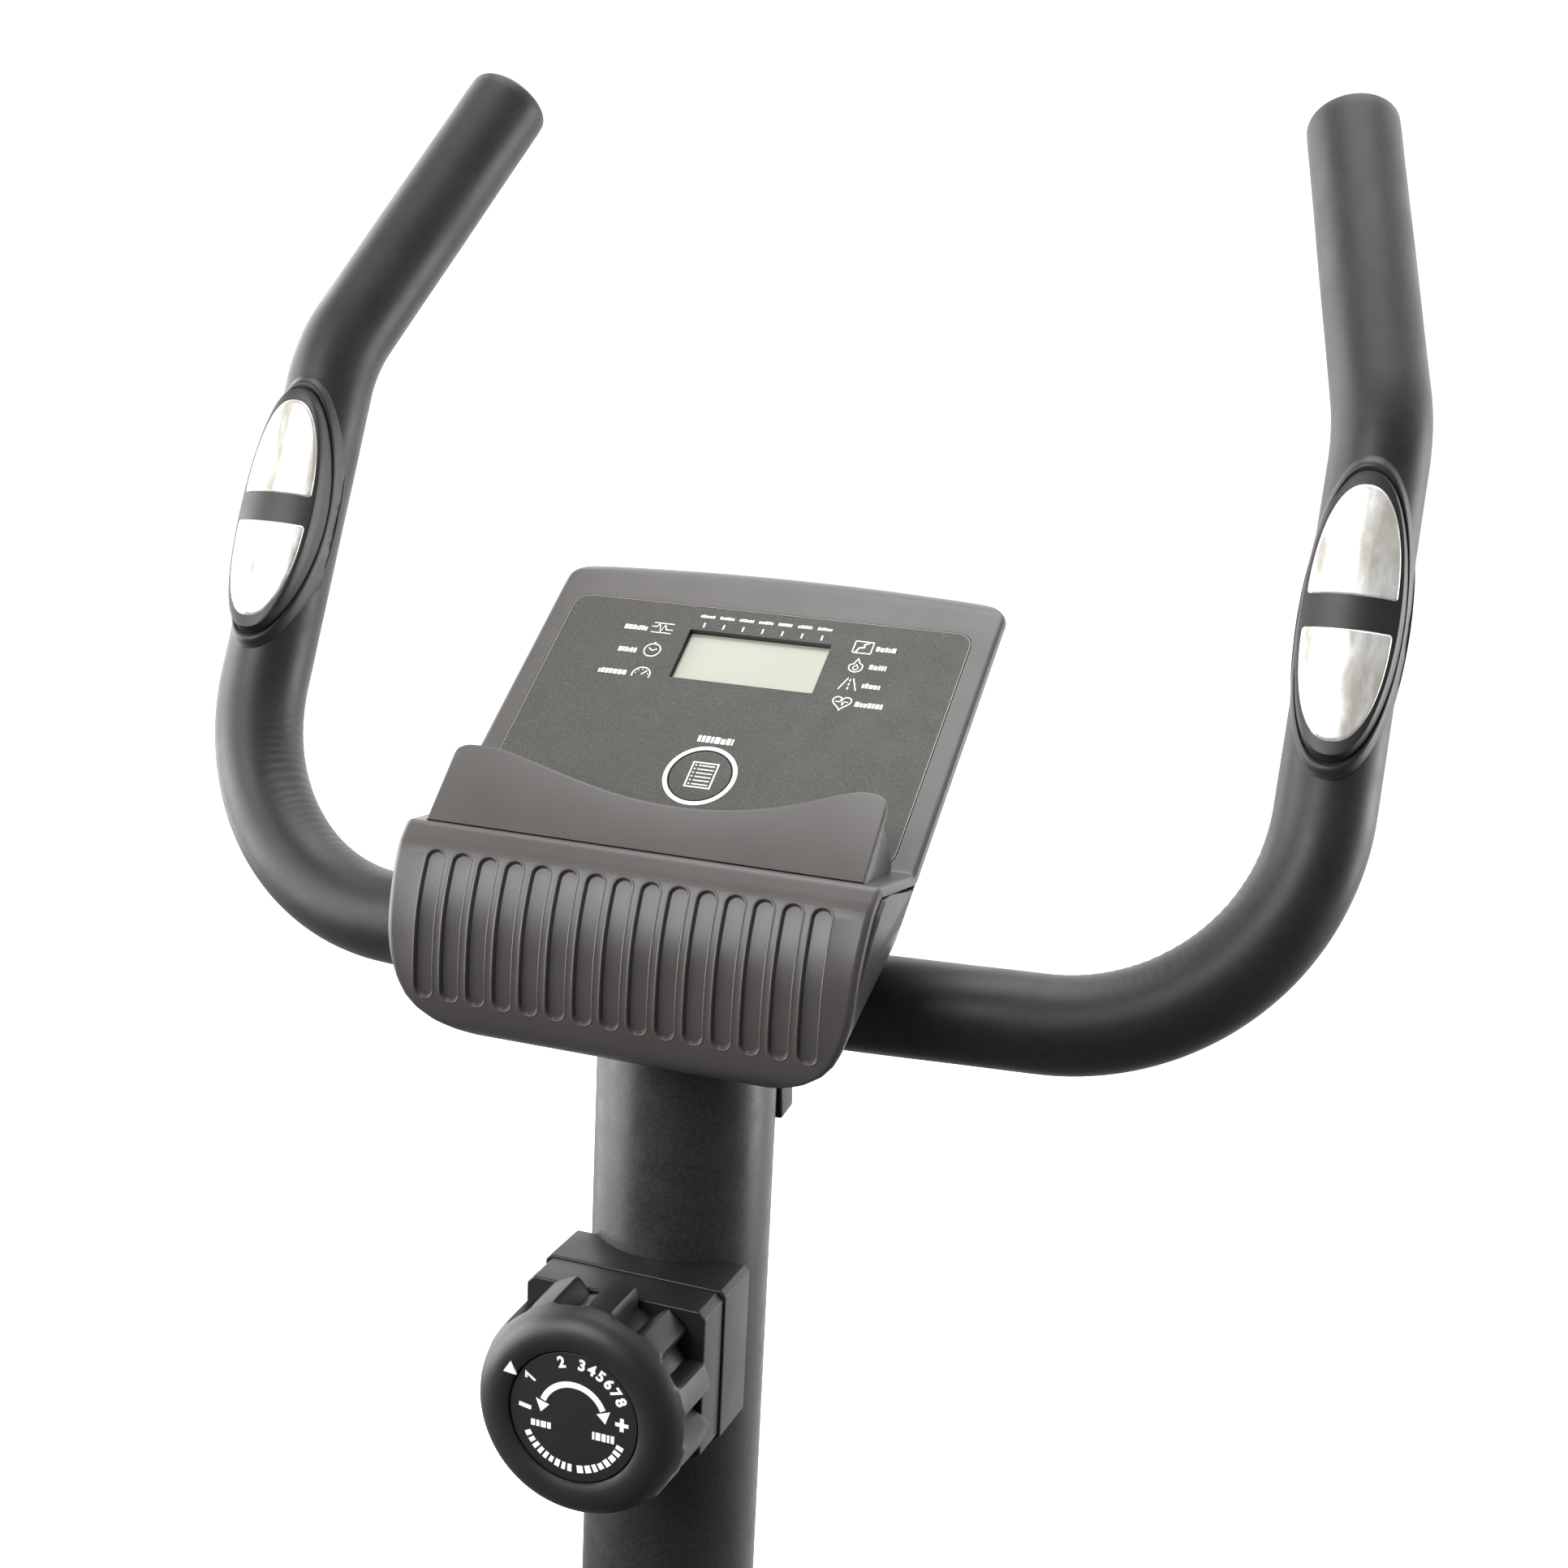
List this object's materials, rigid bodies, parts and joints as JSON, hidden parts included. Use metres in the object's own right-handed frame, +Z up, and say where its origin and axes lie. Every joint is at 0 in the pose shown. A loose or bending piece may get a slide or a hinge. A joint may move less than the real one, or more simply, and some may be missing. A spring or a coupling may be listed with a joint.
{
  "type": "exercise bike",
  "caption": "Upright magnetic exercise bike with a console, pulse grips, a tension knob, a belt-driven flywheel under side covers and a height-adjustable saddle.",
  "frame": {"origin": "on the floor under the middle of the bike", "axes": "+X to the rider's right, +Y the way the rider faces, +Z up"},
  "size_m": [0.5, 0.948, 1.32],
  "materials": {
    "painted_frame": "fine-textured charcoal powder coat",
    "grip_foam": "matte charcoal foam",
    "case_plastic": "satin charcoal moulding",
    "trim_plastic": "fine-grained black moulding",
    "cover_plastic": "satin charcoal moulding",
    "overlay_film": "printed grey film",
    "display_glass": "pale grey-green liquid crystal display",
    "sensor_steel": "polished stainless plate",
    "crank_steel": "plated steel",
    "seat_post_steel": "plated steel tube",
    "flywheel_iron": "turned and painted iron",
    "rubber_black": "black rubber",
    "saddle_vinyl": "grained black vinyl",
    "board_green": "printed circuit board",
    "nylon_grey": "grey nylon"
  },
  "bodies": {
    "frame": {"base_beam": "painted_frame", "front_upright": "painted_frame", "seat_tube": "painted_frame", "flywheel_fork": "painted_frame", "front_stabiliser": "painted_frame", "rear_stabiliser": "painted_frame", "front_cap_left": "trim_plastic", "front_cap_right": "trim_plastic", "crank_bearing_left": "crank_steel", "crank_bearing_right": "crank_steel", "drive_belt": "rubber_black", "flywheel_axle": "crank_steel", "side_cover_left": "cover_plastic", "side_cover_right": "cover_plastic", "post_collar": "trim_plastic", "seat_bush": "trim_plastic", "knob_label": "trim_plastic", "knob_housing": "trim_plastic", "tension_cable": "rubber_black", "handlebar_post": "painted_frame", "bar_clamp": "painted_frame", "console_front": "case_plastic", "console_rear": "case_plastic", "console_overlay": "overlay_film", "lcd_module": "display_glass", "circuit_board": "board_green", "shelf_lip": "case_plastic"},
    "crank": {"crank_axle": "crank_steel", "crank_pulley": "trim_plastic", "crank_arm_left": "crank_steel", "crank_arm_right": "crank_steel"},
    "pedal_left": {"pedal_left": "trim_plastic", "pedal_strap_left": "rubber_black"},
    "pedal_right": {"pedal_right": "trim_plastic", "pedal_strap_right": "rubber_black"},
    "flywheel": {"flywheel": "flywheel_iron"},
    "idler": {"idler_roller": "nylon_grey"},
    "magnet_arm": {"magnet_shoe": "crank_steel", "magnets": "flywheel_iron"},
    "tension_knob": {"tension_knob": "trim_plastic"},
    "mode_button": {"mode_button": "overlay_film"},
    "handlebar": {"handlebar_tube": "painted_frame", "grip_left": "grip_foam", "grip_right": "grip_foam", "pulse_pod_left": "trim_plastic", "pulse_pod_right": "trim_plastic", "pulse_plate_left_lower": "sensor_steel", "pulse_plate_left_upper": "sensor_steel", "pulse_plate_right_lower": "sensor_steel", "pulse_plate_right_upper": "sensor_steel"},
    "seat": {"seat_post": "seat_post_steel", "saddle_clamp": "painted_frame", "saddle_pan": "trim_plastic", "saddle": "saddle_vinyl"},
    "seat_pin": {"seat_pull_pin": "trim_plastic"},
    "wheel_left": {"transport_wheel_left": "nylon_grey"},
    "wheel_right": {"transport_wheel_right": "nylon_grey"},
    "level_left": {"levelling_cap_left": "trim_plastic"},
    "level_right": {"levelling_cap_right": "trim_plastic"},
    "battery_door": {"battery_door": "case_plastic"}
  },
  "joints": [
    {"name": "flywheel_spin", "type": "hinge", "parent": "frame", "child": "flywheel", "pos_m": [0, 0.302, 0.312], "axis": [1, 0, 0], "continuous": true},
    {"name": "crank_spin", "type": "hinge", "parent": "frame", "child": "crank", "pos_m": [0, -0.1, 0.3], "axis": [1, 0, 0], "continuous": true},
    {"name": "idler_spin", "type": "hinge", "parent": "frame", "child": "idler", "pos_m": [0.043, 0.096, 0.211], "axis": [1, 0, 0], "continuous": true},
    {"name": "pedal_left_spin", "type": "hinge", "parent": "crank", "child": "pedal_left", "pos_m": [-0.146, -0.23516, 0.39464], "axis": [1, 0, 0], "continuous": true},
    {"name": "pedal_right_spin", "type": "hinge", "parent": "crank", "child": "pedal_right", "pos_m": [0.146, 0.03516, 0.20536], "axis": [1, 0, 0], "continuous": true},
    {"name": "tension_knob_turn", "type": "hinge", "parent": "frame", "child": "tension_knob", "pos_m": [0, 0.14283, 0.94408], "axis": [0, 0.991, -0.134], "range_deg": [0, 140]},
    {"name": "magnet_swing", "type": "hinge", "parent": "frame", "child": "magnet_arm", "pos_m": [0, 0.328, 0.19], "axis": [-1, 0, 0], "range_deg": [0, 4]},
    {"name": "mode_button_press", "type": "slide", "parent": "frame", "child": "mode_button", "axis": [0, 0.4939, -0.8695], "range_m": [0, 0.0008], "stiffness_N_per_m": 300, "springref_m": -0.0005},
    {"name": "handlebar_tilt", "type": "hinge", "parent": "frame", "child": "handlebar", "pos_m": [0, 0.2389, 1.0508], "axis": [1, 0, 0], "range_deg": [-10, 15]},
    {"name": "seat_height", "type": "slide", "parent": "frame", "child": "seat", "axis": [0, -0.2924, 0.9563], "range_m": [-0.06, 0.12]},
    {"name": "seat_pin_pull", "type": "slide", "parent": "frame", "child": "seat_pin", "axis": [0, -0.9563, -0.2924], "range_m": [0, 0.012], "stiffness_N_per_m": 800, "springref_m": -0.005},
    {"name": "wheel_left_spin", "type": "hinge", "parent": "frame", "child": "wheel_left", "pos_m": [-0.224, 0.45, 0.033], "axis": [1, 0, 0], "continuous": true},
    {"name": "wheel_right_spin", "type": "hinge", "parent": "frame", "child": "wheel_right", "pos_m": [0.224, 0.45, 0.033], "axis": [1, 0, 0], "continuous": true},
    {"name": "level_left_turn", "type": "hinge", "parent": "frame", "child": "level_left", "pos_m": [-0.211, -0.432, 0.038], "axis": [1, 0, 0], "range_deg": [-90, 90]},
    {"name": "level_right_turn", "type": "hinge", "parent": "frame", "child": "level_right", "pos_m": [0.211, -0.432, 0.038], "axis": [1, 0, 0], "range_deg": [-90, 90]},
    {"name": "battery_door_slide", "type": "slide", "parent": "frame", "child": "battery_door", "axis": [0, 0.8695, 0.4939], "range_m": [0, 0.02]}
  ],
  "couplings": [
    {"joint": "crank_spin", "follows": "flywheel_spin", "ratio": 0.16667},
    {"joint": "idler_spin", "follows": "flywheel_spin", "ratio": -1.4286},
    {"joint": "magnet_swing", "follows": "tension_knob_turn", "ratio": 0.028571}
  ]
}
